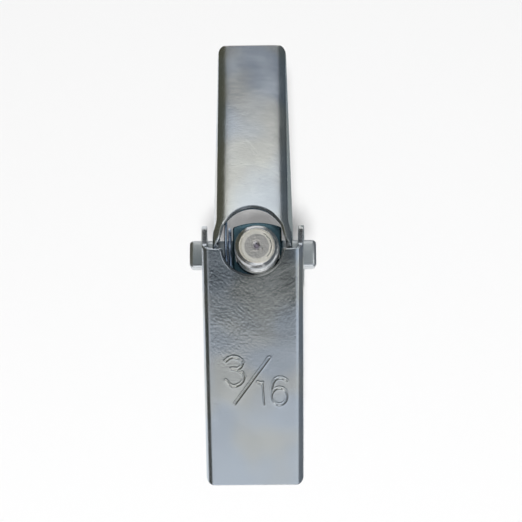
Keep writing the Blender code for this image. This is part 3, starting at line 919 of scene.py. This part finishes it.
def metal(name, base, tint, dark, rough, bump, grain, regions=()):
    """Plated steel: drifting colour, dark specks, uneven gloss, fine grain and pits.

    base and tint are mixed by slow noise, and dark is the specks' colour. rough is the range of
    roughness, bump the grain's depth in millimetres and grain its scale. A region is (terms,
    colour, extra roughness), and each term (measure, low, high) in millimetres rises from 0 at
    low to 1 at high.
    """
    material = bpy.data.materials.new(name)
    material.use_nodes = True
    nodes, links = material.node_tree.nodes, material.node_tree.links
    shader = nodes["Principled BSDF"]
    shader.inputs["Metallic"].default_value = 1
    where = nodes.new("ShaderNodeTexCoord")

    def noise_at(scale, detail, roughness):
        n = nodes.new("ShaderNodeTexNoise")
        n.inputs["Scale"].default_value = scale
        n.inputs["Detail"].default_value = detail
        n.inputs["Roughness"].default_value = roughness
        links.new(where.outputs["Object"], n.inputs["Vector"])
        return n.outputs["Fac"]

    def spread(value, low, high, to_low=0.0, to_high=1.0):
        r = nodes.new("ShaderNodeMapRange")
        r.interpolation_type = "SMOOTHSTEP"
        r.inputs["From Min"].default_value = low
        r.inputs["From Max"].default_value = high
        r.inputs["To Min"].default_value = to_low
        r.inputs["To Max"].default_value = to_high
        links.new(value, r.inputs["Value"])
        return r.outputs["Result"]

    def mix(factor, a, b):
        m = nodes.new("ShaderNodeMix")
        m.data_type = "RGBA"
        links.new(factor, m.inputs["Factor"])
        for socket, value in ((m.inputs["A"], a), (m.inputs["B"], b)):
            if isinstance(value, tuple):
                socket.default_value = (*value, 1)
            else:
                links.new(value, socket)
        return m.outputs["Result"]

    def math_node(operation, a, b=0.0):
        m = nodes.new("ShaderNodeMath")
        m.operation = operation
        for socket, value in zip(m.inputs, (a, b)):
            if isinstance(value, float):
                socket.default_value = value
            else:
                links.new(value, socket)
        return m.outputs["Value"]

    drift = noise_at(DRIFT_SCALE, 1, 0.4)
    colour = mix(spread(drift, 0.38, 0.62), base, tint)
    specks = noise_at(SPECK_SCALE, 3, 0.6)
    colour = mix(spread(specks, 0.70, 0.80), colour, dark)
    cloud = noise_at(CLOUD_SCALE, 2, 0.5)
    gloss = spread(cloud, 0.3, 0.7, *rough)

    parts = nodes.new("ShaderNodeSeparateXYZ")
    links.new(where.outputs["Object"], parts.inputs["Vector"])
    squares = [math_node("MULTIPLY", parts.outputs[k], parts.outputs[k]) for k in "XY"]
    measures = {
        "side": math_node("ABSOLUTE", parts.outputs["X"]),
        "height": math_node("ABSOLUTE", parts.outputs["Z"]),
        "radius": math_node("SQRT", math_node("ADD", *squares)),
    }
    for terms, region_colour, extra in regions:
        within = None
        for measure, low, high in terms:
            share = spread(measures[measure], low * MM, high * MM)
            within = math_node("MULTIPLY", within, share) if within else share
        colour = mix(within, colour, region_colour)
        gloss = math_node("ADD", gloss, math_node("MULTIPLY", within, extra))
    links.new(colour, shader.inputs["Base Color"])
    links.new(gloss, shader.inputs["Roughness"])
    fine = noise_at(grain, 3, 0.6)
    rough_bump = nodes.new("ShaderNodeBump")
    rough_bump.inputs["Strength"].default_value = 1
    rough_bump.inputs["Distance"].default_value = bump * MM
    links.new(fine, rough_bump.inputs["Height"])
    pits = nodes.new("ShaderNodeTexVoronoi")
    pits.inputs["Scale"].default_value = PIT_SCALE
    links.new(where.outputs["Object"], pits.inputs["Vector"])
    pit_bump = nodes.new("ShaderNodeBump")
    pit_bump.inputs["Strength"].default_value = 0.5
    pit_bump.inputs["Distance"].default_value = PIT_DEPTH * MM
    links.new(spread(pits.outputs["Distance"], 0.05, 0.16), pit_bump.inputs["Height"])
    links.new(rough_bump.outputs["Normal"], pit_bump.inputs["Normal"])
    links.new(pit_bump.outputs["Normal"], shader.inputs["Normal"])
    return material


def plain(name, colour):
    """A matt material of one colour."""
    material = bpy.data.materials.new(name)
    material.use_nodes = True
    shader = material.node_tree.nodes["Principled BSDF"]
    shader.inputs["Base Color"].default_value = (*colour, 1)
    shader.inputs["Roughness"].default_value = 0.8
    return material


def glowing(name, colour):
    """A flat emitter of one radiance."""
    material = bpy.data.materials.new(name)
    material.use_nodes = True
    nodes = material.node_tree.nodes
    nodes.clear()
    emission = nodes.new("ShaderNodeEmission")
    emission.inputs["Color"].default_value = (*colour, 1)
    output = nodes.new("ShaderNodeOutputMaterial")
    material.node_tree.links.new(emission.outputs["Emission"], output.inputs["Surface"])
    return material


def paint(obj, material):
    obj.data.materials.clear()
    obj.data.materials.append(material)


# Floor and light


def tilted(angle, side=0):
    """A direction at two angles from straight up: towards the photograph's top, and its right."""
    a, s = math.radians(angle), math.radians(side)
    return Vector((math.sin(s), math.sin(a) * math.cos(s), math.cos(a) * math.cos(s)))


def floor():
    """A white floor, a little under the bolt's head so that the two faces don't coincide."""
    reach, depth = 900, -0.01
    corners = [(-reach, -reach), (reach, -reach), (reach, reach), (-reach, reach)]
    mesh = mesh_from("floor", [(x, y, depth) for x, y in corners], [[0, 1, 2, 3]])
    obj = new_object("floor", mesh)
    paint(obj, plain("floor_white", (0.97, 0.97, 0.97)))


def reflected_only(obj, colour):
    """Makes the object a studio card that shows in reflections and neither lights nor shades."""
    paint(obj, glowing(obj.name, colour))
    obj.visible_camera = False
    obj.visible_diffuse = False
    obj.visible_shadow = False
    obj.visible_transmission = False


def dome_card(name, angles, sides, radius, colour):
    """A card on a sphere round the hinge, between two angles each way; see tilted."""
    steps = 12
    hinge = Vector((0, 0, HINGE_HEIGHT))
    points = [
        hinge + radius * tilted(a, s)
        for a in np.linspace(*angles, steps + 1)
        for s in np.linspace(*sides, steps + 1)
    ]
    row = steps + 1
    faces = [
        [i * row + j, i * row + j + 1, (i + 1) * row + j + 1, (i + 1) * row + j]
        for i in range(steps) for j in range(steps)
    ]
    reflected_only(new_object(name, mesh_from(name, points, faces)), colour)


def flat_card(name, xs, ys, zs, colour):
    """A card between two opposite corners; one of the three ranges has no length."""
    corners = ((0, 0), (1, 0), (1, 1), (0, 1))
    if xs[0] == xs[1]:
        points = [(xs[0], ys[i], zs[j]) for i, j in corners]
    elif ys[0] == ys[1]:
        points = [(xs[i], ys[0], zs[j]) for i, j in corners]
    else:
        points = [(xs[i], ys[j], zs[0]) for i, j in corners]
    reflected_only(new_object(name, mesh_from(name, points, [[0, 1, 2, 3]])), colour)


def key_light():
    """A soft lamp close to the camera's direction.

    floor_share is the lamp's share of the light at which the floor renders as its own colour.
    """
    distance, floor_share = 600, 0.87
    data = bpy.data.lights.new("key", "AREA")
    data.shape = "DISK"
    data.size = 55 * MM
    data.energy = floor_share * math.pi**2 * (distance * MM) ** 2
    obj = bpy.data.objects.new("key", data)
    bpy.context.scene.collection.objects.link(obj)
    direction = tilted(-14.3)
    obj.location = (Vector((0, 0, HINGE_HEIGHT)) + direction * distance) * MM
    obj.rotation_euler = direction.to_track_quat("Z", "Y").to_euler()
    obj.visible_glossy = False


def studio_world():
    """White where it is seen, reflected or looked through, and a softer fill elsewhere."""
    fill = 0.28
    world = bpy.data.worlds.new("studio")
    bpy.context.scene.world = world
    world.use_nodes = True
    nodes, links = world.node_tree.nodes, world.node_tree.links
    path = nodes.new("ShaderNodeLightPath")
    seen = path.outputs["Is Camera Ray"]
    for kind in ("Is Glossy Ray", "Is Transmission Ray"):
        either = nodes.new("ShaderNodeMath")
        either.operation = "MAXIMUM"
        links.new(seen, either.inputs[0])
        links.new(path.outputs[kind], either.inputs[1])
        seen = either.outputs["Value"]
    level = nodes.new("ShaderNodeMapRange")
    level.inputs["To Min"].default_value = fill
    links.new(seen, level.inputs["Value"])
    background = nodes["Background"]
    background.inputs["Color"].default_value = (1, 1, 1, 1)
    links.new(level.outputs["Result"], background.inputs["Strength"])


def studio():
    """The world, the lamp, and the cards: angles or millimetres, and then the radiance."""
    studio_world()
    key_light()
    dome_card("overhead_card", (-8, 20), (-26, 24), 400, (0.20, 0.23, 0.24))
    dome_card("overhead_left_card", (-37, 20), (-60, -26), 401, (0.3, 0.3, 0.3))
    dome_card("lower_overhead_card", (-37, -8), (-26, 14), 400, (0.03, 0.04, 0.045))
    dome_card("lower_right_box", (-52, -20), (42, 60), 398, (1.7, 1.7, 1.7))
    dome_card("lower_right_card", (-37, -15), (14, 60), 402, (0.42, 0.48, 0.55))
    dome_card("lower_card", (-75, -39), (-28, 60), 415, (0.72, 0.75, 0.78))
    dome_card("low_box", (-92, -64), (-60, 60), 412, (1.7, 1.7, 1.7))
    dome_card("upper_card", (42, 56), (-25, 25), 410, (0.19, 0.21, 0.25))
    dome_card("upper_box", (24, 40), (-22, 22), 405, (1.25, 1.25, 1.2))
    dome_card("upper_right_box", (-10, 60), (30, 62), 404, (1.8, 1.8, 1.75))
    dome_card("lower_left_box", (-75, -30), (-85, -50), 430, (1.6, 1.6, 1.6))
    flat_card("left_card", (-45, -45), (0, 120), (0, 150), (0.10, 0.10, 0.075))
    flat_card("lower_left_card", (-45, -45), (-120, 0), (38, 92), (0.05, 0.05, 0.04))
    flat_card("right_card", (45, 45), (8, 120), (0, 150), (0.08, 0.095, 0.105))
    flat_card("lower_right_side_card", (45, 45), (-120, 8), (0, 80), (0.15, 0.165, 0.18))
    # A grey sheet just over the floor at the right, seen only in reflections: painted reflection of
    # the floor's shade there.
    flat_card("right_floor_shade_card", (5, 40), (2, 60), (1, 1), (0.26, 0.30, 0.31))
    flat_card("far_card", (-12, 12), (41, 41), (30, 50), (0.03, 0.03, 0.03))
    flat_card("near_card", (-12, 12), (-42, -42), (33, 44), (0.03, 0.03, 0.03))


GRAIN_SCALE = 5200
PLATING_GLOSS = (0.20, 0.27)

bpy.context.scene.view_settings.view_transform = "Standard"
aim_camera()
ZINC = metal(
    "zinc_plate",
    base=(0.62, 0.63, 0.61),
    tint=(0.57, 0.62, 0.68),
    dark=(0.40, 0.41, 0.42),
    rough=PLATING_GLOSS,
    bump=0.0035,
    grain=GRAIN_SCALE,
)
# The nut's dark teal base colour is painted dark reflection of the boss's flat face. The arms'
# region keeps the plain zinc colour, so boss and arms are a shaded and a lit copy of one zinc.
NUT_ZINC_PAINTED_DARK_REFLECTION = metal(
    "nut_zinc_painted_dark_reflection",
    base=(0.09, 0.16, 0.20),
    tint=(0.07, 0.13, 0.16),
    dark=(0.05, 0.07, 0.08),
    rough=(0.18, 0.26),
    bump=0.008,
    grain=4200,
    regions=[([("side", 2.6, 3.0)], (0.64, 0.67, 0.69), 0.12)],  # the arms
)
TIP_FACE = [("height", BOLT_LENGTH - 0.16, BOLT_LENGTH - 0.08)]
# A cream ring at the tip's rim: painted highlight.
TIP_RIM_PAINTED_HIGHLIGHT = [("height", BOLT_LENGTH - 0.2, BOLT_LENGTH - 0.12), ("radius", 1.2, 1.32)]
# Darker in the tip's middle pit: painted shade.
TIP_MIDDLE_PAINTED_SHADE = [("height", BOLT_LENGTH - 0.3, BOLT_LENGTH - 0.2), ("radius", 0.5, 0.15)]
BOLT_ZINC = metal(
    "bolt_zinc_plate",
    base=(0.63, 0.64, 0.64),
    tint=(0.61, 0.62, 0.64),
    dark=(0.40, 0.40, 0.40),
    rough=PLATING_GLOSS,
    bump=0.0035,
    grain=GRAIN_SCALE,
    regions=[
        (TIP_FACE, (0.70, 0.67, 0.65), 0.16),
        (TIP_RIM_PAINTED_HIGHLIGHT, (0.97, 0.94, 0.88), 0.22),
        (TIP_MIDDLE_PAINTED_SHADE, (0.30, 0.27, 0.33), 0.0),
    ],
)
WIRE = metal(
    "spring_steel",
    base=(0.38, 0.48, 0.62),
    tint=(0.34, 0.42, 0.55),
    dark=(0.2, 0.24, 0.3),
    rough=(0.18, 0.28),
    bump=0.004,
    grain=GRAIN_SCALE,
)
paint(outer_wing(), ZINC)
paint(inner_wing(), ZINC)
paint(bolt(), BOLT_ZINC)
paint(nut(), NUT_ZINC_PAINTED_DARK_REFLECTION)
for piece in spring():
    paint(piece, WIRE)
floor()
studio()
